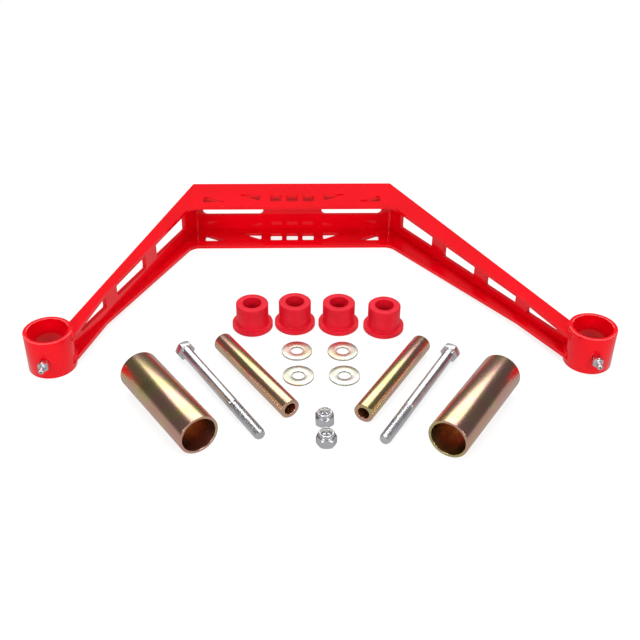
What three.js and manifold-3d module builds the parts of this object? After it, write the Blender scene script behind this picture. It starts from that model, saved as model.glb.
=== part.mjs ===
// Fabricated sway bar with its link hardware laid out beside it. Millimetres, +Z up.
// The bar is an I-beam: a folded top plate, a folded bottom plate and a folded web, welded to two tube rings.
// The bend lines of both plates run along Y, so plate height is a function of X alone.
import * as THREE from 'three';
import { mergeVertices } from 'three/addons/utils/BufferGeometryUtils.js';
import Module from 'manifold-3d';

const wasm = await Module();
wasm.setup();

// ---- driving dimensions: rings -------------------------------------------------------------
const RING_SPACING = 607.5; // between the two ring axes
const RING_OD = 54;
const RING_WALL = 4.6;
const RING_HEIGHT = 46.6;

// ---- driving dimensions: bar ---------------------------------------------------------------
const PLATE = 4.8; // thickness of both plates and of the web
const GAP = 0.3; // weld root gap between neighbouring pieces
const BAR_HEIGHT = 63.5; // over both plates along the straight middle
const TOP_AT_RING = 36.4; // top plate's upper face, on the ring line
const BOTTOM_AT_RING = 9; // bottom plate's lower face, on the ring line
const FAR_EDGE = 317.2; // straight edge of the middle, ahead of the ring line
const MIDDLE_WIDTH = 64.2;
const BEND_LEFT = -165.5;
const BEND_RIGHT = 101.5;
const NEAR_FILLET = 15; // inside corners of the near edge
const FAR_FILLET = 3;
const WEB_BACK = 18.2; // web centre line, behind the far edge along the middle
const WEB_INSET = 7; // the same along each arm

// Each arm: where its far edge aims on the ring line, and the near edge's distance from that edge
// at the waist. bendSkew moves the near corner along X. Windows are [start, end, sill height].
const ARMS = {
  left: {
    side: -1, bend: BEND_LEFT, farOffset: 8, bendSkew: 0.2, waistAt: 262, waistWidth: 14.2,
    windows: [[48, 128, 14.3], [156, 227, 13.1], [252, 308, 11.5]],
  },
  right: {
    side: 1, bend: BEND_RIGHT, farOffset: 5.3, bendSkew: -2, waistAt: 285, waistWidth: 21,
    windows: [[40, 108, 10.6], [131, 192, 9.1], [213, 267.5, 8.3], [287, 337, 7.5]],
  },
};
const WINDOW_HEAD = 2; // web left above each window
const WINDOW_RADIUS = 2.5;
const SLOTS = [[-153, -71], [8, 90]]; // along X, in the straight part of the web
const SLOT_SILL = 26.4;
const SLOT_HEAD = 44;
const SLOT_RADIUS = 6;

// Lightening holes in both plates, placed from the middle of the straight part.
const MIDDLE_X = (BEND_LEFT + BEND_RIGHT) / 2;
const HOLE_BAND = 41.5; // centre line of the holes, behind the far edge
const HOLE_HEIGHT = 18;
const HOLE_LENGTH = 30;
const OUTER_HOLE = 117; // square end of the outer triangles
const INNER_HOLE = 42; // square end of the inner triangles
const HOLE_RADIUS = 1.6;
const CENTRE_HOLES = 3;
const CENTRE_HOLE_WIDTH = 15;
const CENTRE_HOLE_PITCH = 21.5;

// ---- driving dimensions: grease fittings ---------------------------------------------------
const FITTING_Z = 21;
const FITTING_TURN = { left: -3.5, right: 2 }; // degrees round each ring, from straight ahead
const FITTING_STANDOFF = 1.8; // thread left showing under the hexagon
const FITTING_THREAD = 9.6;
const FITTING_HEX = 11.1;
const FITTING_HEX_LENGTH = 5.4;
const NIPPLE_OD = 6.6;
const NIPPLE_LENGTH = 9;
const CHAMBER_D = 3.4;
const BALL_D = 2.8;
const GREASE_WAY = 1.8;
const SPRING_WIRE = 0.4;
const SPRING_TURNS = 5;

// ---- driving dimensions: link hardware -----------------------------------------------------
const SLEEVE_OD = RING_OD - 2 * RING_WALL - 0.35; // turns in the ring
const SLEEVE_WALL = 3.05;
const SLEEVE_LENGTH = 130.2;
const BUSHING_OD = SLEEVE_OD - 2 * SLEEVE_WALL - 0.25;
const BUSHING_FLANGE_OD = BUSHING_OD + 9.9;
const BUSHING_FLANGE = 6.4;
const BUSHING_LENGTH = 33; // flange included
const INNER_OD = 22.2;
const INNER_LENGTH = SLEEVE_LENGTH + 2 * BUSHING_FLANGE + 0.5;
const BUSHING_BORE = INNER_OD + 0.2;
const BOLT_D = 12.7;
const INNER_ID = BOLT_D + 0.8;
const BOLT_THREAD_LENGTH = 58;
const BOLT_HEX = BOLT_D + 6.35;
const BOLT_HEAD = 8;
const NUT_HEX = BOLT_HEX;
const NUT_HEX_HEIGHT = 11.4;
const NUT_HEIGHT = 15.1;
const NUT_COLLAR_OD = BOLT_D + 3.9;
const INSERT_HEIGHT = 2.6;
const WASHER_OD = 34.9;
const WASHER_ID = BOLT_D + 1.6;
const WASHER_THICK = 2.4;
const BOLT_LENGTH = INNER_LENGTH + 2 * WASHER_THICK + NUT_HEIGHT + 1.7; // stands proud of the nut

// Where the loose pieces lie: centre X and Y, or near end X and Y with a heading in degrees.
// The bushings stand in a row: the first one's X, each one's Y, and the gaps between their flanges.
const BUSHING_ROW = { firstX: -80.2, y: [72.6, 75.1, 72.9, 66.3], gaps: [2.4, 4, 5.3] };
const WASHERS_AT = [[-28, 19.6], [24.8, 18.4], [-26.7, -26.8], [24.7, -27.3]];
const NUTS_AT = [[0, -105.2, 4], [0.9, -137.6, 30]]; // third value: turn of the hexagon
const OUTER_SLEEVES_AT = { left: [-127.6, -148.8, 123.9], right: [121.6, -158.6, 56.3] };
const INNER_SLEEVES_AT = { left: [-36.1, -96, 122.4], right: [40.7, -104.1, 58.8] };
const BOLTS_AT = { left: [-153.3, 8.2, -58.2], right: [144.6, 0.1, -121] };

const SEGMENTS = { ring: 48, sleeve: 36, bushing: 32, washer: 28, small: 24, fitting: 16, ball: 12 };

const kit = new THREE.Group();
const rad = THREE.MathUtils.degToRad;

// ---- finishes ------------------------------------------------------------------------------
const finish = (color, roughness, metalness) => () => (
  new THREE.MeshStandardMaterial({ color, roughness, metalness }));
const redPaint = finish(0xd00812, 0.22, 0.0);
const redPoly = finish(0xc4122a, 0.45, 0.0);
const goldZinc = finish(0xc9a27e, 0.3, 1.0);
const paleZinc = finish(0xc6c0a4, 0.35, 1.0);
const clearZinc = finish(0xc8c8d0, 0.28, 1.0);
const springSteel = finish(0x9a9aa0, 0.3, 1.0);
const nylon = finish(0xd8d4c8, 0.5, 0.0);

// ---- geometry helpers ----------------------------------------------------------------------
function solid(geometry) {
  const bare = geometry.clone();
  bare.deleteAttribute('normal');
  bare.deleteAttribute('uv');
  const merged = mergeVertices(bare, 1e-4);
  return new wasm.Manifold(new wasm.Mesh({
    numProp: 3,
    vertProperties: new Float32Array(merged.attributes.position.array),
    triVerts: new Uint32Array(merged.index.array),
  }));
}

function geometryOf(body) {
  const mesh = body.getMesh();
  const geometry = new THREE.BufferGeometry();
  geometry.setAttribute('position', new THREE.BufferAttribute(mesh.vertProperties, 3));
  geometry.setIndex(new THREE.BufferAttribute(mesh.triVerts, 1));
  geometry.computeVertexNormals();
  return geometry;
}

function add(name, geometry, material, parent = kit) {
  const mesh = new THREE.Mesh(geometry, material());
  mesh.name = name;
  parent.add(mesh);
  return mesh;
}

// A closed outline from corners [x, y, radius]; every corner with a radius becomes an arc.
function outline(corners) {
  const points = corners.map(([x, y]) => new THREE.Vector2(x, y));
  return new THREE.Shape(corners.flatMap(([, , radius = 0], i) => {
    const here = points[i];
    if (!radius) return [here];
    const back = points[(i + points.length - 1) % points.length].clone().sub(here).normalize();
    const on = points[(i + 1) % points.length].clone().sub(here).normalize();
    const half = Math.acos(back.dot(on)) / 2;
    const reach = radius / Math.sin(half);
    const centre = back.clone().add(on).setLength(reach).add(here);
    const from = back.clone().multiplyScalar(radius / Math.tan(half)).add(here).sub(centre).angle();
    const to = on.clone().multiplyScalar(radius / Math.tan(half)).add(here).sub(centre).angle();
    const steps = Math.ceil((Math.PI - 2 * half) * 3) + 1;
    return new THREE.EllipseCurve(centre.x, centre.y, radius, radius, from, to, back.cross(on) > 0)
      .getPoints(steps);
  }));
}

function extrude(shape, depth) {
  return new THREE.ExtrudeGeometry(shape, { depth, bevelEnabled: false });
}

// Turned about Z: profile points are [radius, z], counter-clockwise.
function turned(profile, segments) {
  const points = profile.map(([r, z]) => new THREE.Vector2(r, z));
  return new THREE.LatheGeometry(points, segments).rotateX(Math.PI / 2);
}

function tube(outer, inner, length, segments) {
  const [R, r] = [outer / 2, inner / 2];
  return turned([[r, 0], [R, 0], [R, length], [r, length], [r, 0]], segments);
}

function cylinder(radius, low, high, x, y, segments) {
  return new THREE.CylinderGeometry(radius, radius, high - low, segments)
    .rotateX(Math.PI / 2).translate(x, y, (low + high) / 2);
}

function hexagon(acrossFlats, height, turn = 0) {
  const corner = acrossFlats / Math.sqrt(3);
  return new THREE.CylinderGeometry(corner, corner, height, 6)
    .rotateX(Math.PI / 2).rotateZ(rad(turn)).translate(0, 0, height / 2);
}

// ---- the bar's frame -----------------------------------------------------------------------
const ringX = RING_SPACING / 2;

function rise(x, middle, atRing) {
  const over = x < BEND_LEFT ? (BEND_LEFT - x) / (BEND_LEFT + ringX)
    : Math.max(0, x - BEND_RIGHT) / (ringX - BEND_RIGHT);
  return middle + (atRing - middle) * over;
}
const topFace = (x) => rise(x, BAR_HEIGHT, TOP_AT_RING);
const bottomFace = (x) => rise(x, 0, BOTTOM_AT_RING);

// An arm's own directions: along its far edge from the bend, and square to it towards the near edge.
function armFrame(arm) {
  const corner = new THREE.Vector2(arm.bend, FAR_EDGE);
  const aim = new THREE.Vector2(arm.side * ringX - arm.side * arm.farOffset, 0);
  const along = aim.sub(corner).normalize();
  const across = new THREE.Vector2(along.y, -along.x).multiplyScalar(arm.side);
  const at = (s, w) => corner.clone().addScaledVector(along, s).addScaledVector(across, w);
  const ring = new THREE.Vector2(arm.side * ringX, 0).sub(corner);
  return { along, across, at, ringAt: ring.dot(along), ringOff: ring.dot(across) };
}
for (const arm of Object.values(ARMS)) Object.assign(arm, armFrame(arm));

// Near edge of one arm, from the middle's corner to a point inside the ring.
function armCorners({ bend, bendSkew, at, waistAt, waistWidth, ringAt, ringOff }) {
  const flank = ringOff + RING_OD / 2;
  const p = (s, w, radius) => [...at(s, w).toArray(), radius];
  return [
    [bend + bendSkew, FAR_EDGE - MIDDLE_WIDTH, NEAR_FILLET],
    p(waistAt, waistWidth, 40), p(ringAt - 10, flank + 0.8, 4), p(ringAt - 3, flank - 8, 0),
    p(ringAt, 0, 0), [bend, FAR_EDGE, FAR_FILLET],
  ];
}

// A prism under a folded line: the band between two heights that follow the plates' folds.
function foldedBand(low, high) {
  const ends = [-ringX, BEND_LEFT, BEND_RIGHT, ringX];
  const floor = ends.map((x) => [x, low(x)]);
  const ceiling = ends.map((x) => [x, high(x)]).reverse();
  return solid(extrude(outline([...floor, ...ceiling]), 2 * FAR_EDGE)
    .rotateX(Math.PI / 2).translate(0, 1.5 * FAR_EDGE, 0));
}

function ringBlock(side, radius = RING_OD / 2 + GAP) {
  return solid(cylinder(radius, -10, BAR_HEIGHT + 10, side * ringX, 0, SEGMENTS.ring));
}

// ---- plates --------------------------------------------------------------------------------
function triangle(squareEnd, towards, bandY, flip) {
  const high = HOLE_HEIGHT / 2;
  const x = MIDDLE_X + squareEnd;
  return outline([
    [x, bandY - high, HOLE_RADIUS], [x, bandY + high, HOLE_RADIUS],
    [x + towards * HOLE_LENGTH, bandY + flip * high, HOLE_RADIUS / 2],
  ]);
}

function plateHoles() {
  const bandY = FAR_EDGE - HOLE_BAND;
  const shapes = [];
  for (const side of [-1, 1]) {
    shapes.push(triangle(side * OUTER_HOLE, -side, bandY - 1.5, -1));
    shapes.push(triangle(side * INNER_HOLE, side, bandY + 1.5, 1));
  }
  for (let i = 0; i < CENTRE_HOLES; i += 1) {
    const x = MIDDLE_X + (i - (CENTRE_HOLES - 1) / 2) * CENTRE_HOLE_PITCH;
    const [w, h] = [CENTRE_HOLE_WIDTH / 2, HOLE_HEIGHT / 2];
    shapes.push(outline([
      [x - w, bandY - h, HOLE_RADIUS], [x + w, bandY - h, HOLE_RADIUS],
      [x + w, bandY + h, HOLE_RADIUS], [x - w, bandY + h, HOLE_RADIUS],
    ]));
  }
  return shapes;
}

function plate(low, high) {
  const upright = (shape) => solid(extrude(shape, BAR_HEIGHT + 20).translate(0, 0, -10));
  const corners = [...armCorners(ARMS.left), ...armCorners(ARMS.right).reverse()];
  return plateHoles()
    .reduce((body, hole) => body.subtract(upright(hole)), upright(outline(corners)))
    .intersect(foldedBand(low, high))
    .subtract(ringBlock(-1))
    .subtract(ringBlock(1));
}

add('top_plate', geometryOf(plate((x) => topFace(x) - PLATE, topFace)), redPaint);
add('bottom_plate', geometryOf(plate(bottomFace, (x) => bottomFace(x) + PLATE)), redPaint);

// ---- web -----------------------------------------------------------------------------------
const webY = FAR_EDGE - WEB_BACK;

// Where an arm's web line meets the straight part of the web.
function webBend({ at, along, across }) {
  const s = (FAR_EDGE + across.y * WEB_INSET - webY) / -along.y;
  return at(s, WEB_INSET);
}

function offsetLine(points, distance) {
  return points.map((p, i) => {
    const back = (points[i - 1] ?? p).clone();
    const on = (points[i + 1] ?? p).clone();
    const first = p.clone().sub(back).normalize();
    const second = on.sub(p).normalize();
    const [a, b] = [first.lengthSq() ? first : second, second.lengthSq() ? second : first];
    const normal = new THREE.Vector2(-a.y - b.y, a.x + b.x).normalize();
    const stretch = Math.sqrt((1 + a.dot(b)) / 2);
    return p.clone().addScaledVector(normal, distance / stretch);
  });
}

function webPlan() {
  const { left, right } = ARMS;
  const line = [left.at(left.ringAt - 8, WEB_INSET), webBend(left), webBend(right),
    right.at(right.ringAt - 8, WEB_INSET)];
  const bendRadius = [0, 10, 10, 0];
  const corner = (radius) => (p, i) => [p.x, p.y, bendRadius[i] ? bendRadius[i] + radius : 0];
  const near = offsetLine(line, -PLATE / 2).map(corner(-PLATE / 2));
  const far = offsetLine(line, PLATE / 2).map(corner(PLATE / 2)).reverse();
  return outline([...near, ...far]);
}

// A window follows both plates: its sill and head run parallel to them.
function armWindow(arm, [start, end, height]) {
  const sill = (s) => bottomFace(arm.at(s, WEB_INSET).x) + PLATE + height;
  const head = (s) => topFace(arm.at(s, WEB_INSET).x) - PLATE - WINDOW_HEAD;
  const shape = outline([
    [start, sill(start), WINDOW_RADIUS], [end, sill(end), WINDOW_RADIUS],
    [end, head(end), WINDOW_RADIUS], [start, head(start), WINDOW_RADIUS],
  ]);
  const cutter = extrude(shape, 6 * PLATE).translate(0, 0, -3 * PLATE);
  const origin = arm.at(0, WEB_INSET);
  const place = new THREE.Matrix4().makeBasis(
    new THREE.Vector3(arm.along.x, arm.along.y, 0),
    new THREE.Vector3(0, 0, 1),
    new THREE.Vector3(arm.along.y, -arm.along.x, 0),
  ).setPosition(origin.x, origin.y, 0);
  return solid(cutter.applyMatrix4(place));
}

function webSlot([start, end]) {
  const shape = outline([
    [start, SLOT_SILL, SLOT_RADIUS], [end, SLOT_SILL, SLOT_RADIUS],
    [end, SLOT_HEAD, SLOT_RADIUS], [start, SLOT_HEAD, SLOT_RADIUS],
  ]);
  return solid(extrude(shape, 6 * PLATE).rotateX(Math.PI / 2).translate(0, webY + 3 * PLATE, 0));
}

function web() {
  let body = solid(extrude(webPlan(), BAR_HEIGHT))
    .intersect(foldedBand((x) => bottomFace(x) + PLATE + GAP, (x) => topFace(x) - PLATE - GAP))
    .subtract(ringBlock(-1))
    .subtract(ringBlock(1));
  for (const arm of Object.values(ARMS)) {
    for (const span of arm.windows) body = body.subtract(armWindow(arm, span));
  }
  for (const span of SLOTS) body = body.subtract(webSlot(span));
  return body;
}

add('web', geometryOf(web()), redPaint);

// ---- rings and grease fittings -------------------------------------------------------------
const tapped = (FITTING_THREAD / 2) + GAP;
const fittingHole = solid(
  new THREE.CylinderGeometry(tapped, tapped, 2 * RING_WALL, SEGMENTS.fitting)
    .translate(0, -(RING_OD - RING_WALL) / 2, FITTING_Z),
);
const ringBody = geometryOf(
  solid(tube(RING_OD, RING_OD - 2 * RING_WALL, RING_HEIGHT, SEGMENTS.ring)).subtract(fittingHole),
);

// Along its own Z, outwards from the ring's outer face: thread, hexagon, nipple and the bore that
// holds the ball against its lip.
const nippleEnd = FITTING_STANDOFF + FITTING_HEX_LENGTH + NIPPLE_LENGTH;
const chamberTop = nippleEnd - 1.5;
const chamberFloor = FITTING_STANDOFF + 1.5;
const ballZ = chamberTop - BALL_D / 2 + 0.1;

function fitting() {
  const hexEnd = FITTING_STANDOFF + FITTING_HEX_LENGTH;
  const nipple = NIPPLE_OD / 2;
  const body = solid(turned([
    [0, 0.6 - RING_WALL], [FITTING_THREAD / 2 - 0.6, 0.6 - RING_WALL],
    [FITTING_THREAD / 2, 1.2 - RING_WALL], [FITTING_THREAD / 2, FITTING_STANDOFF + 0.2],
    [NIPPLE_OD * 0.7, FITTING_STANDOFF + 0.2], [NIPPLE_OD * 0.7, hexEnd - 0.1],
    [nipple - 0.2, hexEnd - 0.1], [nipple - 0.7, hexEnd + 1.6],
    [nipple - 0.7, hexEnd + 4], [nipple, hexEnd + 5.4], [nipple - 0.2, nippleEnd - 1.2],
    [nipple - 1.4, nippleEnd], [0, nippleEnd],
  ], SEGMENTS.fitting));
  const hex = solid(hexagon(FITTING_HEX, FITTING_HEX_LENGTH).translate(0, 0, FITTING_STANDOFF));
  const bore = solid(turned([
    [0, -RING_WALL - 2], [GREASE_WAY / 2, -RING_WALL - 2], [GREASE_WAY / 2, chamberFloor],
    [CHAMBER_D / 2, chamberFloor], [CHAMBER_D / 2, chamberTop - 0.9],
    [GREASE_WAY / 2, chamberTop + 0.4], [GREASE_WAY / 2, nippleEnd + 1], [0, nippleEnd + 1],
  ], 16));
  return geometryOf(body.add(hex).subtract(bore));
}

function springLine() {
  const radius = (CHAMBER_D - SPRING_WIRE) / 2 - 0.2;
  const low = chamberFloor + SPRING_WIRE / 2 + 0.05;
  const touch = (BALL_D + SPRING_WIRE) / 2 + 0.1;
  const high = ballZ - Math.sqrt(touch * touch - radius * radius);
  const points = [];
  for (let i = 0; i <= SPRING_TURNS * 8; i += 1) {
    const turn = (i / 8) * 2 * Math.PI;
    const z = low + ((high - low) * i) / (SPRING_TURNS * 8);
    points.push(new THREE.Vector3(radius * Math.cos(turn), radius * Math.sin(turn), z));
  }
  return new THREE.CatmullRomCurve3(points);
}

function spring() {
  const wire = new THREE.Shape().absarc(0, 0, SPRING_WIRE / 2, 0, 2 * Math.PI);
  return new THREE.ExtrudeGeometry(wire, {
    extrudePath: springLine(), steps: SPRING_TURNS * 8, curveSegments: 3, bevelEnabled: false,
  });
}

for (const [name, side] of [['left', -1], ['right', 1]]) {
  const end = new THREE.Group();
  end.position.set(side * ringX, 0, 0);
  end.rotation.z = rad(FITTING_TURN[name]);
  kit.add(end);
  add(`${name}_ring`, ringBody.clone(), redPaint, end);
  const port = new THREE.Group();
  port.position.set(0, -RING_OD / 2, FITTING_Z);
  port.rotation.x = Math.PI / 2;
  end.add(port);
  add(`${name}_grease_fitting`, fitting(), clearZinc, port);
  add(`${name}_check_ball`, new THREE.SphereGeometry(BALL_D / 2, SEGMENTS.ball, SEGMENTS.ball / 2),
    springSteel, port).position.z = ballZ;
  add(`${name}_check_spring`, spring(), springSteel, port);
}

// ---- bushings and washers ------------------------------------------------------------------
function bushing() {
  const [R, F, r] = [BUSHING_OD / 2, BUSHING_FLANGE_OD / 2, BUSHING_BORE / 2];
  return turned([
    [r, 0], [F - 0.9, 0], [F, 0.9], [F, BUSHING_FLANGE], [R, BUSHING_FLANGE],
    [R, BUSHING_LENGTH - 1], [R - 1, BUSHING_LENGTH], [r, BUSHING_LENGTH], [r, 0],
  ], SEGMENTS.bushing);
}

BUSHING_ROW.y.forEach((y, i) => {
  const gaps = BUSHING_ROW.gaps.slice(0, i).reduce((sum, gap) => sum + gap, 0);
  const x = BUSHING_ROW.firstX + i * BUSHING_FLANGE_OD + gaps;
  add(`bushing_${i + 1}`, bushing(), redPoly).position.set(x, y, 0);
});
WASHERS_AT.forEach(([x, y], i) => {
  add(`washer_${i + 1}`, tube(WASHER_OD, WASHER_ID, WASHER_THICK, SEGMENTS.washer), paleZinc)
    .position.set(x, y, 0);
});

// ---- nuts ----------------------------------------------------------------------------------
const insertFloor = NUT_HEIGHT - 1.2 - INSERT_HEIGHT;
const insertOuter = NUT_COLLAR_OD / 2 - 1;

function lockNut() {
  const [corner, flat] = [NUT_HEX / Math.sqrt(3), NUT_HEX / 2];
  const collar = NUT_COLLAR_OD / 2;
  const turnedBlank = solid(turned([
    [0, 0], [flat, 0], [corner, 1], [corner, NUT_HEX_HEIGHT - 1.2], [flat - 0.4, NUT_HEX_HEIGHT],
    [collar, NUT_HEX_HEIGHT + 0.2], [collar, NUT_HEIGHT - 0.9], [collar - 0.9, NUT_HEIGHT],
    [0, NUT_HEIGHT],
  ], SEGMENTS.small));
  const bore = solid(turned([
    [0, -1], [BOLT_D / 2, -1], [BOLT_D / 2, insertFloor], [insertOuter, insertFloor],
    [insertOuter, NUT_HEIGHT - 1.2], [BOLT_D / 2 + 0.5, NUT_HEIGHT - 0.9],
    [BOLT_D / 2 + 0.5, NUT_HEIGHT + 1], [0, NUT_HEIGHT + 1],
  ], SEGMENTS.small));
  return geometryOf(turnedBlank.intersect(solid(hexagon(NUT_HEX, NUT_HEIGHT))).subtract(bore));
}

function nylonInsert() {
  const [outer, inner] = [insertOuter - GAP, BOLT_D / 2 - 0.4];
  return turned([
    [inner, insertFloor + GAP], [outer, insertFloor + GAP], [outer, insertFloor + INSERT_HEIGHT - GAP],
    [inner, insertFloor + INSERT_HEIGHT - GAP], [inner, insertFloor + GAP],
  ], SEGMENTS.small);
}

NUTS_AT.forEach(([x, y, turn], i) => {
  const place = new THREE.Group();
  place.position.set(x, y, 0);
  place.rotation.z = rad(turn);
  kit.add(place);
  add(`lock_nut_${i + 1}`, lockNut(), clearZinc, place);
  add(`nylon_insert_${i + 1}`, nylonInsert(), nylon, place);
});

// ---- sleeves and bolts, lying on their sides -----------------------------------------------
// The group's own X runs along the piece, from its near end.
function lying([x, y, heading], height, dip = 0) {
  const place = new THREE.Group();
  place.position.set(x, y, height);
  place.rotation.set(0, dip, rad(heading), 'ZYX');
  kit.add(place);
  return place;
}

// Hexagon head at the back, bearing face at zero, shank and thread ahead.
function bolt() {
  const shank = BOLT_D / 2;
  const threadStart = BOLT_LENGTH - BOLT_THREAD_LENGTH;
  const flat = BOLT_HEX / 2;
  const head = solid(turned([
    [0, -BOLT_HEAD], [flat - 0.6, -BOLT_HEAD], [BOLT_HEX / Math.sqrt(3), 1.2 - BOLT_HEAD],
    [BOLT_HEX / Math.sqrt(3), 0], [0, 0],
  ], SEGMENTS.small)).intersect(solid(hexagon(BOLT_HEX, BOLT_HEAD + 2).translate(0, 0, -BOLT_HEAD - 1)));
  const body = solid(turned([
    [0, -1], [shank, -1], [shank, threadStart], [shank - 0.35, threadStart + 0.6],
    [shank - 0.35, BOLT_LENGTH - 1.6], [shank - 1.8, BOLT_LENGTH], [0, BOLT_LENGTH],
  ], SEGMENTS.small));
  return geometryOf(head.add(body)).rotateY(Math.PI / 2);
}

const boltDip = Math.atan((BOLT_HEX / 2 - BOLT_D / 2) / BOLT_LENGTH);
const onSide = (outer, inner, length) => tube(outer, inner, length, SEGMENTS.sleeve).rotateY(Math.PI / 2);
for (const side of ['left', 'right']) {
  add(`${side}_bolt`, bolt(), clearZinc,
    lying(BOLTS_AT[side], (BOLT_HEX / 2) * Math.cos(boltDip) + 0.02, boltDip));
  add(`${side}_inner_sleeve`, onSide(INNER_OD, INNER_ID, INNER_LENGTH), goldZinc,
    lying(INNER_SLEEVES_AT[side], INNER_OD / 2));
  add(`${side}_outer_sleeve`, onSide(SLEEVE_OD, SLEEVE_OD - 2 * SLEEVE_WALL, SLEEVE_LENGTH), goldZinc,
    lying(OUTER_SLEEVES_AT[side], SLEEVE_OD / 2));
}

// The origin is the middle of the whole kit's footprint, on the surface it lies on.
const footprint = new THREE.Box3().setFromObject(kit, true);
const centre = footprint.getCenter(new THREE.Vector3());
kit.position.set(-centre.x, -centre.y, -footprint.min.z);

export default kit;
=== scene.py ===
from math import atan, cos, pi, radians, sin, sqrt

import bpy
from mathutils import Matrix, Vector


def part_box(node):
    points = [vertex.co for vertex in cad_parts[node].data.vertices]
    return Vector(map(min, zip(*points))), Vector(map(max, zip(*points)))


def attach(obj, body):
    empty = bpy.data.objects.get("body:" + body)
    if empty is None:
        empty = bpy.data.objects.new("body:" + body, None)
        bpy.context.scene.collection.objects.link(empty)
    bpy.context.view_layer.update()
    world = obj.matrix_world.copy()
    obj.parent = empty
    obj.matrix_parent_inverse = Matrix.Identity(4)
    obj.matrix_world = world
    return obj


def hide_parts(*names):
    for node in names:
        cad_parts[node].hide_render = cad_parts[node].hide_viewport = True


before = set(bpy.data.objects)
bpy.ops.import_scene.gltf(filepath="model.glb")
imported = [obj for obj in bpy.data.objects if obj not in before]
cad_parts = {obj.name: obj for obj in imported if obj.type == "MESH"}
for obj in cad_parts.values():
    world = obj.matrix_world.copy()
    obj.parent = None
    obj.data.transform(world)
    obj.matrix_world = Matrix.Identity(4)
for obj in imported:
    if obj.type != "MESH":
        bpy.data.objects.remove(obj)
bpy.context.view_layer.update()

# Camera: a long lens about a metre and a quarter away, looking down at the layout from in front, a
# touch to the left of the middle. Its pitch, yaw and roll are in degrees.
CAMERA_AT = (-0.03494, -0.97966, 0.68943)
PITCH, YAW, ROLL = 35.47, 1.68, 0.57

bpy.ops.object.camera_add(location=CAMERA_AT)
camera = bpy.context.object
camera.rotation_euler = (
    Matrix.Rotation(radians(-YAW), 3, "Z")
    @ Matrix.Rotation(radians(90 - PITCH), 3, "X")
    @ Matrix.Rotation(radians(ROLL), 3, "Z")
).to_euler()
camera.data.lens = 56.25
camera.data.shift_x = 0.0084
camera.data.shift_y = 0.0172
bpy.context.scene.camera = camera
bpy.context.scene.view_settings.view_transform = "Standard"


# Every surface is one of these finishes: a node material whose sums are written as plain Python.
class Socket:
    """A node's output that can be added, subtracted, multiplied and held between 0 and 1."""

    def __init__(self, finish, output):
        self.finish = finish
        self.output = output

    def _sum(self, operation, *values):
        inputs = dict(enumerate(values))
        return self.finish.node("Math", {"operation": operation}, inputs)

    def __add__(self, other):
        return self._sum("ADD", self, other)

    def __sub__(self, other):
        return self._sum("SUBTRACT", self, other)

    def __mul__(self, other):
        return self._sum("MULTIPLY", self, other)

    def clamped(self):
        return self._sum("MINIMUM", self._sum("MAXIMUM", self, 0), 1)

    __radd__ = __add__
    __rmul__ = __mul__


class Finish:
    """A material: its tree, its Principled shader and one method that makes any node."""

    def __init__(self, name, constants, tree=None):
        if tree is None:
            self.material = bpy.data.materials.new(name)
            self.material.use_nodes = True
            tree = self.material.node_tree
            self.shader = tree.nodes["Principled BSDF"]
            for socket, value in constants.items():
                self.shader.inputs[socket].default_value = value
        self.tree = tree

    def node(self, kind, settings=None, inputs=None, output=0):
        node = self.tree.nodes.new("ShaderNode" + kind)
        for key, value in (settings or {}).items():
            if key == "stops":
                ramp = node.color_ramp
                while len(ramp.elements) < len(value):
                    ramp.elements.new(0.5)
                for element, (place, colour) in zip(ramp.elements, value):
                    element.position = place
                    element.color = (*colour, 1)
            else:
                setattr(node, key, value)
        for key, value in (inputs or {}).items():
            if isinstance(value, Socket):
                self.tree.links.new(value.output, node.inputs[key])
            else:
                node.inputs[key].default_value = value
        return Socket(self, node.outputs[output])

    def place(self):
        return self.node("TexCoord", output="Object")

    def noise(self, scale, where=None, detail=3, roughness=0.5):
        inputs = {"Vector": where or self.place(), "Scale": scale, "Detail": detail, "Roughness": roughness}
        return self.node("TexNoise", None, inputs)

    def colours(self, factor, stops):
        return self.node("ValToRGB", {"stops": stops}, {0: factor})

    def mix(self, factor, one, other, blend="MIX"):
        settings = {"data_type": "RGBA", "blend_type": blend}
        return self.node("Mix", settings, {0: factor, 6: one, 7: other}, output=2)

    def bump(self, height, distance, strength=1.0):
        return self.node("Bump", None, {"Height": height, "Distance": distance, "Strength": strength})

    def feed(self, **sockets):
        for name, value in sockets.items():
            self.tree.links.new(value.output, self.shader.inputs[name.replace("_", " ")])


# Stage: a white table top in a dim room, under a broad white cloth behind, a narrow one overhead and
# two small ones in front. The camera sees plain white, and mirrored rays see a grey table.
FLOOR_SIZE = 1.3
ROOM_FILL, ROOM_DIM = 0.38, 0.10

bpy.ops.mesh.primitive_plane_add(size=FLOOR_SIZE, location=(0, 0, -0.0002))
floor = bpy.context.object
floor.name = "floor"
paper = Finish("paper", {"Base Color": (0.86, 0.86, 0.86, 1), "Roughness": 0.9, "Specular IOR Level": 0.1})
lit = Socket(paper, paper.shader.outputs[0])
white = paper.node("Emission", None, {"Color": (1, 1, 1, 1), "Strength": 1.12})
grey = paper.node("Emission", None, {"Color": (1, 1, 1, 1), "Strength": 0.5})
camera_ray = paper.node("LightPath", output="Is Camera Ray")
mirrored = (paper.node("LightPath", output="Is Glossy Ray")
            + paper.node("LightPath", output="Is Transmission Ray")).clamped()
surface = paper.node("MixShader", None, {0: camera_ray * 0.72, 1: lit, 2: white})
surface = paper.node("MixShader", None, {0: mirrored, 1: surface, 2: grey})
paper.tree.links.new(surface.output, paper.tree.nodes["Material Output"].inputs[0])
floor.data.materials.append(paper.material)

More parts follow.
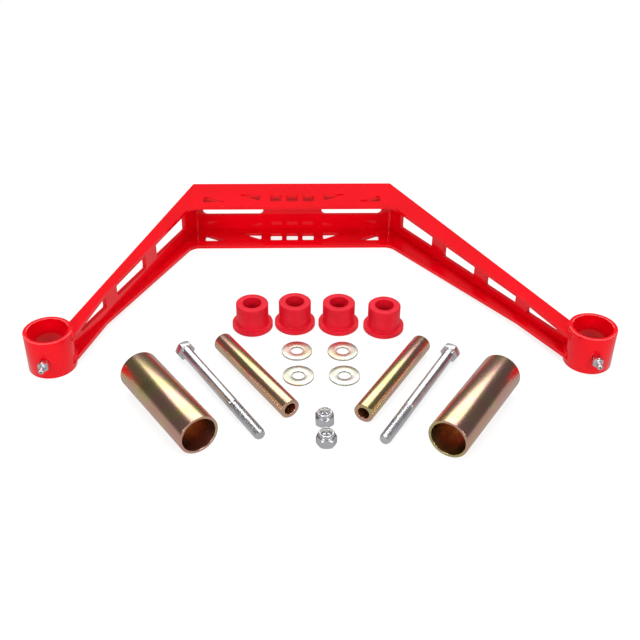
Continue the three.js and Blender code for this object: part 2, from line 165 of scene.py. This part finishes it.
world = bpy.data.worlds.new("room")
bpy.context.scene.world = world
world.use_nodes = True
room = Finish("room", {}, world.node_tree)
fill = room.node("Background", None, {"Color": (1, 1, 1, 1), "Strength": ROOM_FILL})
dim = room.node("Background", None, {"Color": (1, 1, 1, 1), "Strength": ROOM_DIM})
white = room.node("Background", None, {"Color": (1, 1, 1, 1), "Strength": 1.0})
mirrored = room.node("LightPath", output="Is Glossy Ray")
camera_ray = room.node("LightPath", output="Is Camera Ray")
sky = room.node("MixShader", None, {0: mirrored, 1: fill, 2: dim})
sky = room.node("MixShader", None, {0: camera_ray, 1: sky, 2: white})
world.node_tree.links.new(sky.output, world.node_tree.nodes["World Output"].inputs[0])


def lamp(name, at, towards, size, watts):
    bpy.ops.object.light_add(type="AREA", location=at)
    light = bpy.context.object
    light.name = name
    light.data.shape = "RECTANGLE"
    light.data.size, light.data.size_y = size
    light.data.energy = watts
    light.rotation_euler = (Vector(towards) - Vector(at)).to_track_quat("-Z", "Y").to_euler()
    return light


lamp("rear_cloth", (0.0, 1.05, 1.62), (0, 0.2, 0.1), (2.4, 1.3), 24)
lamp("top_cloth", (0.0, -0.25, 1.7), (0, 0, 0), (1.3, 0.5), 9)
lamp("left_cloth", (-1.0, -1.3, 0.8), (0, 0, 0), (0.6, 0.6), 11)
lamp("right_cloth", (1.0, -1.3, 0.8), (0, 0, 0), (0.6, 0.6), 11)


# The I-beam: two folded plates and a folded web between them, laser cut from 4.8 mm sheet, welded
# all along and to the rings, then powder coated red in one go.
EDGE_BREAK = 0.00045
FOLD_X = (-0.1655, 0.1015)

red_paint = Finish("red_powder_coat", {
    "Coat Weight": 1.0, "Coat Roughness": 0.03, "Coat IOR": 1.36, "Specular IOR Level": 0.05,
})
peel = red_paint.noise(420, detail=2)
drift = red_paint.noise(14, detail=4)
shade = red_paint.colours(drift, [(0.3, (0.72, 0.0, 0.005)), (0.7, (0.82, 0.0, 0.008))])
red_paint.feed(
    Base_Color=shade,
    Roughness=0.26 + peel * 0.12,
    Normal=red_paint.bump(peel, 0.00006, 0.5),
)


def only(piece):
    bpy.ops.object.select_all(action="DESELECT")
    piece.select_set(True)
    bpy.context.view_layer.objects.active = piece


def edit(piece, mode="VERT"):
    only(piece)
    bpy.ops.object.mode_set(mode="EDIT")
    bpy.ops.mesh.select_mode(type=mode)


def finished_with(piece, kind, **settings):
    """Adds a modifier and applies it."""
    only(piece)
    modifier = piece.modifiers.new(kind.lower(), kind)
    for key, value in settings.items():
        setattr(modifier, key, value)
    bpy.ops.object.modifier_apply(modifier=modifier.name)


def copy_of_node(node, name):
    """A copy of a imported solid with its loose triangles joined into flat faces."""
    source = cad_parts[node]
    piece = source.copy()
    piece.data = source.data.copy()
    piece.name = name
    bpy.context.collection.objects.link(piece)
    piece.parent = None
    piece.data.materials.clear()
    edit(piece)
    bpy.ops.mesh.select_all(action="SELECT")
    bpy.ops.mesh.customdata_custom_splitnormals_clear()
    bpy.ops.mesh.remove_doubles(threshold=1e-5)
    bpy.ops.mesh.dissolve_limited(angle_limit=radians(1.5))
    bpy.ops.object.mode_set(mode="OBJECT")
    return piece


def shown(piece, finish, body, slot, *nodes):
    """Gives a finished piece its surface and its body, and hides the imported solids it stands for."""
    piece.data.materials.clear()
    piece.data.materials.append(finish.material)
    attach(piece, body)
    if nodes:
        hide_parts(*nodes)


for node in ("top_plate", "bottom_plate", "web"):
    sheet = copy_of_node(node, f"painted_{node}")
    if node == "web":
        finished_with(sheet, "DISPLACE", strength=0.00032, mid_level=0)
    finished_with(sheet, "BEVEL", width=EDGE_BREAK, segments=2, limit_method="ANGLE", angle_limit=radians(40))
    only(sheet)
    bpy.ops.object.shade_smooth_by_angle(angle=radians(4))
    shown(sheet, red_paint, "bar", "red_paint", node)


# Rings: short lengths of tube, sawn square and welded to the arms before painting. Their ends are
# broken slightly.
def turned(name, profile, segments, solid=False):
    """A body of revolution about Z: one circle extruded and resized from step to step."""
    radius, level = profile[0]
    fill = "NGON" if solid else "NOTHING"
    bpy.ops.mesh.primitive_circle_add(vertices=segments, radius=radius, fill_type=fill)
    piece = bpy.context.object
    piece.name = name
    edit(piece)
    bpy.ops.mesh.select_all(action="SELECT")
    bpy.ops.transform.translate(value=(0, 0, level))
    for wider, higher in profile[1:]:
        bpy.ops.mesh.extrude_region_move(TRANSFORM_OT_translate={"value": (0, 0, higher - level)})
        bpy.ops.transform.resize(value=(wider / radius, wider / radius, 1), center_override=(0, 0, higher))
        radius, level = wider, higher
    bpy.ops.mesh.select_all(action="SELECT")
    bpy.ops.mesh.remove_doubles(threshold=1e-7)
    bpy.ops.mesh.normals_make_consistent(inside=False)
    bpy.ops.object.mode_set(mode="OBJECT")
    return piece


def softened(piece, width, segments=3, corner=30, smooth=35):
    finished_with(
        piece, "BEVEL", width=width, segments=segments, limit_method="ANGLE", angle_limit=radians(corner)
    )
    only(piece)
    bpy.ops.object.shade_smooth_by_angle(angle=radians(smooth))


def fixed(piece):
    """Applies an object's place to its mesh."""
    only(piece)
    bpy.ops.object.transform_apply(location=True, rotation=True, scale=True)


def seated(piece, node, turn=(0, 0, 0)):
    """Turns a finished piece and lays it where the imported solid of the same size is."""
    piece.rotation_euler = turn
    fixed(piece)
    low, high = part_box(node)
    corners = [Vector(corner) for corner in piece.bound_box]
    middle = (Vector(map(min, *corners)) + Vector(map(max, *corners))) / 2
    piece.location = (Vector(low) + Vector(high)) / 2 - middle
    fixed(piece)


def joined(piece, *others):
    only(piece)
    for other in others:
        other.select_set(True)
    bpy.ops.object.join()
    return piece


def cut_by(piece, tool, operation="DIFFERENCE"):
    finished_with(piece, "BOOLEAN", object=tool, operation=operation, solver="EXACT")
    bpy.data.objects.remove(tool)


RING_R, RING_WALL, RING_HEIGHT = 0.027, 0.0046, 0.0466
PORT_TURN = {"left": -3.5, "right": 2}
TAPPED_R = 0.0051
PORT_Z = 0.021

for side in ("left", "right"):
    bore = RING_R - RING_WALL
    ring = turned(
        f"painted_{side}_ring",
        [(bore, 0), (RING_R, 0), (RING_R, RING_HEIGHT), (bore, RING_HEIGHT), (bore, 0)],
        128,
    )
    drill = turned("drill", [(TAPPED_R, 0), (TAPPED_R, RING_WALL * 3)], 32, solid=True)
    drill.rotation_euler = (pi / 2, 0, 0)
    drill.location = (0, -bore + 0.002, PORT_Z)
    fixed(drill)
    cut_by(ring, drill)
    softened(ring, 0.0007, corner=50)
    seated(ring, f"{side}_ring", (0, 0, radians(PORT_TURN[side])))
    shown(ring, red_paint, "bar", "red_paint", f"{side}_ring")


# Weld beads where each plate meets its ring: overlapping puddles laid along the joint, then
# painted over with the rest.
PLATE = 0.0048
TOP_AT_RING, BOTTOM_AT_RING = 0.0364, 0.009
MIDDLE_TOP = 0.0635
BEAD_R, BEAD_PITCH = 0.0027, 0.0013


def plate_level(x, at_ring, in_middle):
    """A plate face's height above the table at a distance along X."""
    ring_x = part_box("right_ring")[1][0] - RING_R
    fold = FOLD_X[0] if x < 0 else FOLD_X[1]
    return at_ring + (in_middle - at_ring) * (ring_x - abs(x)) / (ring_x - abs(fold))


def puddle(name):
    bpy.ops.mesh.primitive_uv_sphere_add(segments=16, ring_count=10, radius=BEAD_R)
    bead = bpy.context.object
    bead.name = name
    bead.scale = (1, 0.6, 0.9)
    fixed(bead)
    return bead


for side, sign, first, last in (("left", 1, -13, 62), ("right", -1, -13, 52)):
    low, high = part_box(f"{side}_ring")
    centre = (Vector(low) + Vector(high)) / 2
    lines = (
        (TOP_AT_RING, MIDDLE_TOP, 0.0004),
        (TOP_AT_RING - PLATE, MIDDLE_TOP - PLATE, -0.0004),
        (BOTTOM_AT_RING + PLATE, PLATE, 0.0004),
        (BOTTOM_AT_RING, 0, -0.0004),
    )
    weld = []
    for at_ring, in_middle, lift in lines:
        count = int(radians(last - first) * RING_R / BEAD_PITCH)
        for step in range(count + 1):
            angle = radians(first + (last - first) * step / count)
            x = centre.x + sign * RING_R * cos(angle)
            y = centre.y + RING_R * sin(angle)
            bead = puddle("bead")
            bead.location = (x, y, plate_level(x, at_ring, in_middle) + lift)
            bead.rotation_euler = (0.3 * sin(step * 2.3), 0, sign * angle + pi / 2)
            fixed(bead)
            weld.append(bead)
    seam = joined(*weld)
    seam.name = f"{side}_ring_weld"
    only(seam)
    bpy.ops.object.shade_smooth()
    shown(seam, red_paint, "bar", "red_paint")


# Grease fittings: zinc-plated steel, a hexagon to screw them in by and a nipple with a groove that
# the gun's coupler grips. A ball closes the tip from inside.
ZINC = {"Metallic": 1.0}
clear_zinc = Finish("clear_zinc", ZINC)
cloud = clear_zinc.noise(60, detail=5)
grain = clear_zinc.noise(1500, detail=2)
clear_zinc.feed(
    Base_Color=clear_zinc.colours(cloud, [(0.3, (0.66, 0.66, 0.70)), (0.7, (0.84, 0.83, 0.87))]),
    Roughness=0.2 + cloud * 0.12 + grain * 0.08,
    Normal=clear_zinc.bump(grain, 0.00002, 0.4),
)
steel = Finish("bright_steel", {"Metallic": 1.0})
smear = steel.noise(700, detail=4)
steel.feed(
    Base_Color=steel.colours(smear, [(0.3, (0.40, 0.40, 0.42)), (0.7, (0.56, 0.56, 0.58))]),
    Roughness=0.18 + smear * 0.2,
)

ROOT_GAP = 0.0003
STANDOFF, HEX_LENGTH, NIPPLE_LENGTH = 0.0018, 0.0054, 0.009
THREAD_R, NIPPLE_R = 0.0048, 0.0033
CHAMBER_R, WAY_R = 0.0017, 0.0009


def hexagon(name, across_flats, low, high):
    corner = across_flats / sqrt(3)
    return turned(name, [(corner, low), (corner, high)], 6, solid=True)


def grease_fitting(name):
    hex_end = STANDOFF + HEX_LENGTH
    tip = hex_end + NIPPLE_LENGTH
    seat = tip - 0.0015
    screw_end = 0.0006 - RING_WALL
    body = turned(name, [
        (WAY_R, screw_end), (THREAD_R - 0.0006, screw_end), (THREAD_R, screw_end + 0.0006),
        (THREAD_R, STANDOFF + 0.0002), (0.0046, STANDOFF + 0.0002), (0.0046, hex_end - 0.0001),
        (0.0031, hex_end), (0.0026, hex_end + 0.0007), (0.0024, hex_end + 0.0022),
        (0.0026, hex_end + 0.0044), (NIPPLE_R, hex_end + 0.0056), (NIPPLE_R, tip - 0.0016),
        (NIPPLE_R - 0.0005, tip - 0.0006), (NIPPLE_R - 0.0014, tip), (WAY_R, tip),
        (WAY_R, seat + 0.0004), (CHAMBER_R, seat - 0.0009), (CHAMBER_R, STANDOFF + 0.0015),
        (WAY_R, STANDOFF + 0.0015), (WAY_R, screw_end),
    ], 40)
    softened(body, 0.00012, 2, smooth=40)
    nut = hexagon("hex", 0.0111, STANDOFF, hex_end)
    dome = turned("dome", [
        (0.0056, STANDOFF - 0.0001), (0.0066, STANDOFF + 0.0006),
        (0.0066, hex_end - 0.0006), (0.0053, hex_end + 0.0001),
    ], 40, solid=True)
    cut_by(nut, dome, "INTERSECT")
    core = turned("core", [(0.0042, STANDOFF - 0.001), (0.0042, hex_end + 0.001)], 40, solid=True)
    cut_by(nut, core)
    softened(nut, 0.00012, 2)
    return joined(body, nut)


for side in ("left", "right"):
    nipple = grease_fitting(f"{side}_zerk_body")
    seated(nipple, f"{side}_grease_fitting", (pi / 2, 0, radians(PORT_TURN[side])))
    shown(nipple, clear_zinc, "bar", "clear_zinc", f"{side}_grease_fitting")
    bpy.ops.mesh.primitive_uv_sphere_add(segments=32, ring_count=16, radius=0.0014)
    ball = bpy.context.object
    ball.name = f"{side}_ball"
    only(ball)
    bpy.ops.object.shade_smooth()
    seated(ball, f"{side}_check_ball")
    shown(ball, steel, f"{side}_ball", "spring_steel", f"{side}_check_ball")
    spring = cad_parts[f"{side}_check_spring"]
    spring.data.materials.clear()
    spring.data.materials.append(steel.material)


# Bushings: cast polyurethane in red, with a flange that faces the link and a bore for the inner
# sleeve. The skin is satin, with a faint flow pattern from the mould.
BUSHING_BORE_R, BARREL_R, FLANGE_R = 0.0112, 0.01905, 0.024
FLANGE, BUSHING_HEIGHT = 0.0064, 0.033

red_poly = Finish("red_polyurethane", {"Specular IOR Level": 0.22})
flow = red_poly.noise(55, detail=4)
pores = red_poly.noise(900, detail=2)
red_poly.feed(
    Base_Color=red_poly.colours(flow, [(0.3, (0.62, 0.004, 0.016)), (0.7, (0.72, 0.007, 0.026))]),
    Roughness=0.34 + pores * 0.16,
    Normal=red_poly.bump(pores, 0.00005, 0.4),
)

for number in range(1, 5):
    bushing = turned(f"moulded_bushing_{number}", [
        (BUSHING_BORE_R, 0), (FLANGE_R - 0.0009, 0), (FLANGE_R, 0.0009), (FLANGE_R, FLANGE - 0.0002),
        (FLANGE_R - 0.0002, FLANGE), (BARREL_R + 0.0004, FLANGE), (BARREL_R, FLANGE + 0.0006),
        (BARREL_R, BUSHING_HEIGHT - 0.001), (BARREL_R - 0.001, BUSHING_HEIGHT),
        (BUSHING_BORE_R, BUSHING_HEIGHT), (BUSHING_BORE_R, 0),
    ], 96)
    softened(bushing, 0.0005, 3, corner=25)
    seated(bushing, f"bushing_{number}")
    shown(bushing, red_poly, f"loose_bushing_{number}", "red_polyurethane", f"bushing_{number}")


# Washers: stamped from strip, so one face has a rolled edge, and plated in pale yellow zinc that
# clouds to pink and green.
WASHER_R, WASHER_HOLE_R, WASHER_THICK = 0.01745, 0.00715, 0.0024


def yellow_zinc(name, turn, tones, stretch=1.0):
    """Yellow zinc whose cloudy bands run along the piece's own length."""
    finish = Finish(name, ZINC)
    along = finish.node("Mapping", None, {
        "Vector": finish.place(), "Rotation": (0, 0, -turn), "Scale": (stretch, 1, 1),
    })
    cloud = finish.noise(26, along, detail=2, roughness=0.45)
    speck = finish.noise(700, detail=3)
    finish.feed(
        Base_Color=finish.colours(cloud + (speck - 0.5) * 0.05, tones),
        Roughness=0.22 + speck * 0.08,
        Normal=finish.bump(speck, 0.00001, 0.3),
    )
    return finish


PALE_TONES = [
    (0.30, (0.67, 0.43, 0.39)), (0.42, (0.67, 0.61, 0.43)), (0.52, (0.61, 0.64, 0.52)),
    (0.62, (0.70, 0.65, 0.58)), (0.74, (0.72, 0.55, 0.55)),
]
for number in range(1, 5):
    washer = turned(f"stamped_washer_{number}", [
        (WASHER_HOLE_R, 0), (WASHER_R, 0), (WASHER_R, WASHER_THICK), (WASHER_HOLE_R, WASHER_THICK),
        (WASHER_HOLE_R, 0),
    ], 96)
    softened(washer, 0.00045, 3)
    seated(washer, f"washer_{number}")
    plated = yellow_zinc(f"pale_zinc_{number}", number * 1.3, PALE_TONES)
    shown(washer, plated, f"loose_washer_{number}", "pale_zinc", f"washer_{number}")


# Lock nuts: a chamfered hexagon with a thin collar rolled in over a nylon ring that grips the
# thread. The thread shows in the bore.
BOLT_R, PITCH_13 = 0.00635, 0.0254 / 13
NUT_FLATS, NUT_HEX_HEIGHT, NUT_HEIGHT = 0.01905, 0.0114, 0.0151
COLLAR_R = 0.0083
INSERT_R, INSERT_LOW, INSERT_HIGH = 0.007, 0.0116, 0.0136
NUT_TURNS = (4, 30)

nylon = Finish("natural_nylon", {"Specular IOR Level": 0.45})
haze = nylon.noise(500, detail=3)
nylon.feed(
    Base_Color=nylon.colours(haze, [(0.3, (0.62, 0.60, 0.55)), (0.7, (0.74, 0.72, 0.67))]),
    Roughness=0.4 + haze * 0.2,
)


def thread(name, radius, depth, low, high, inside=False):
    """A helical ridge: a diamond outline swept round and up, with its inner half in the metal."""
    bpy.ops.mesh.primitive_circle_add(vertices=4, radius=PITCH_13 * 0.48)
    ridge = bpy.context.object
    ridge.name = name
    ridge.rotation_euler = (pi / 2, 0, 0)
    ridge.scale = (depth / (PITCH_13 * 0.48), 1, 1)
    ridge.location = (radius - depth if not inside else radius + depth * 0.4, 0, low)
    fixed(ridge)
    turns = max(1, int((high - low) / PITCH_13))
    finished_with(
        ridge, "SCREW", axis="Z", screw_offset=PITCH_13, iterations=turns, steps=36, render_steps=36,
        use_smooth_shade=False,
    )
    edit(ridge, "EDGE")
    bpy.ops.mesh.select_all(action="SELECT")
    bpy.ops.mesh.fill_holes(sides=4)
    bpy.ops.mesh.select_all(action="SELECT")
    bpy.ops.mesh.normals_make_consistent(inside=False)
    bpy.ops.object.mode_set(mode="OBJECT")
    return ridge


def lock_nut(name):
    corner, flat = NUT_FLATS / sqrt(3), NUT_FLATS / 2
    nut = hexagon(name, NUT_FLATS, 0, NUT_HEIGHT)
    blank = turned("blank", [
        (flat - 0.0004, 0), (corner, 0.0012), (corner, NUT_HEX_HEIGHT - 0.0022),
        (flat - 0.0002, NUT_HEX_HEIGHT - 0.0002), (COLLAR_R + 0.0004, NUT_HEX_HEIGHT + 0.0001),
        (COLLAR_R, NUT_HEX_HEIGHT + 0.0005), (COLLAR_R, NUT_HEIGHT - 0.0011),
        (COLLAR_R - 0.0004, NUT_HEIGHT - 0.0003), (COLLAR_R - 0.0009, NUT_HEIGHT),
    ], 72, solid=True)
    cut_by(nut, blank, "INTERSECT")
    bore = turned("bore", [
        (BOLT_R + 0.0006, -0.0005), (BOLT_R + 0.0006, 0.0002), (BOLT_R, 0.001),
        (BOLT_R, INSERT_LOW - ROOT_GAP), (INSERT_R + ROOT_GAP, INSERT_LOW - ROOT_GAP),
        (INSERT_R + ROOT_GAP, INSERT_HIGH + ROOT_GAP), (BOLT_R + 0.0005, INSERT_HIGH + 0.0006),
        (BOLT_R + 0.0005, NUT_HEIGHT + 0.001),
    ], 72, solid=True)
    cut_by(nut, bore)
    softened(nut, 0.00018, 2, corner=28, smooth=28)
    helix = thread("nut_thread", BOLT_R, 0.0008, 0.0013, INSERT_LOW - 0.001, inside=True)
    return joined(nut, helix)


for number, turn in enumerate(NUT_TURNS, 1):
    nut = lock_nut(f"turned_lock_nut_{number}")
    seated(nut, f"lock_nut_{number}", (0, 0, radians(turn)))
    shown(nut, clear_zinc, f"loose_nut_{number}", "clear_zinc", f"lock_nut_{number}")
    grip = turned(f"nylon_ring_{number}", [
        (BOLT_R - 0.0004, INSERT_LOW), (INSERT_R, INSERT_LOW), (INSERT_R, INSERT_HIGH),
        (BOLT_R - 0.0004, INSERT_HIGH), (BOLT_R - 0.0004, INSERT_LOW),
    ], 72)
    softened(grip, 0.0003, 2)
    seated(grip, f"nylon_insert_{number}")
    shown(grip, nylon, f"loose_nut_{number}", "nylon", f"nylon_insert_{number}")


# Bolts: cold-headed, half threaded, clear zinc. They lie on a flat of the head and on the tip, so
# they slope down slightly.
BOLT_LENGTH, THREADED, HEAD = 0.1651, 0.058, 0.008
BOLT_DIP = atan((NUT_FLATS / 2 - BOLT_R) / BOLT_LENGTH)


def bolt(name):
    corner, flat = NUT_FLATS / sqrt(3), NUT_FLATS / 2
    start = BOLT_LENGTH - THREADED
    head = hexagon(name, NUT_FLATS, -HEAD, 0)
    blank = turned("blank", [
        (flat - 0.0006, -HEAD), (corner, 0.0012 - HEAD), (corner, -0.0008), (corner - 0.0004, 0.0),
    ], 72, solid=True)
    cut_by(head, blank, "INTERSECT")
    softened(head, 0.00025, 2)
    core = BOLT_R - 0.0009
    shank = turned("shank", [
        (BOLT_R + 0.0016, -0.0006), (BOLT_R + 0.0016, 0.0004), (BOLT_R + 0.0003, 0.0006), (BOLT_R, 0.0016),
        (BOLT_R, start - 0.0004), (core, start + 0.0012), (core, BOLT_LENGTH - 0.0006),
        (core - 0.0006, BOLT_LENGTH),
    ], 72, solid=True)
    softened(shank, 0.0001, 2, corner=25)
    helix = thread("bolt_thread", BOLT_R, 0.001, start + 0.0008, BOLT_LENGTH - 0.001)
    return joined(head, shank, helix)


HEADINGS = {
    "left_bolt": -58.2, "right_bolt": -121, "left_inner_sleeve": 122.4, "right_inner_sleeve": 58.8,
    "left_outer_sleeve": 123.9, "right_outer_sleeve": 56.3,
}
for side in ("left", "right"):
    node = f"{side}_bolt"
    piece = bolt(f"forged_{node}")
    seated(piece, node, (0, pi / 2 + BOLT_DIP, radians(HEADINGS[node])))
    shown(piece, clear_zinc, f"loose_{node}", "clear_zinc", node)


# Sleeves: cut from drawn tube and plated in yellow zinc, which colours gold, pink and green in
# bands. The outer ones turn in the rings; the inner ones are clamped by the bolts.
GOLD_TONES = [
    (0.28, (0.59, 0.48, 0.21)), (0.40, (0.73, 0.59, 0.28)), (0.50, (0.81, 0.50, 0.35)),
    (0.60, (0.81, 0.45, 0.38)), (0.72, (0.73, 0.57, 0.32)),
]
SLEEVES = {"outer": (0.022225, 0.019175, 0.1302), "inner": (0.0111, 0.00675, 0.1435)}

for side in ("left", "right"):
    for kind, (outside, inside, length) in SLEEVES.items():
        node = f"{side}_{kind}_sleeve"
        sleeve = turned(f"drawn_{node}", [
            (inside, 0), (outside, 0), (outside, length), (inside, length), (inside, 0),
        ], 96)
        softened(sleeve, 0.0004, 3)
        heading = radians(HEADINGS[node])
        seated(sleeve, node, (0, pi / 2, heading))
        plated = yellow_zinc(f"gold_zinc_{node}", heading, GOLD_TONES, stretch=0.3)
        shown(sleeve, plated, f"loose_{node}", "gold_zinc", node)
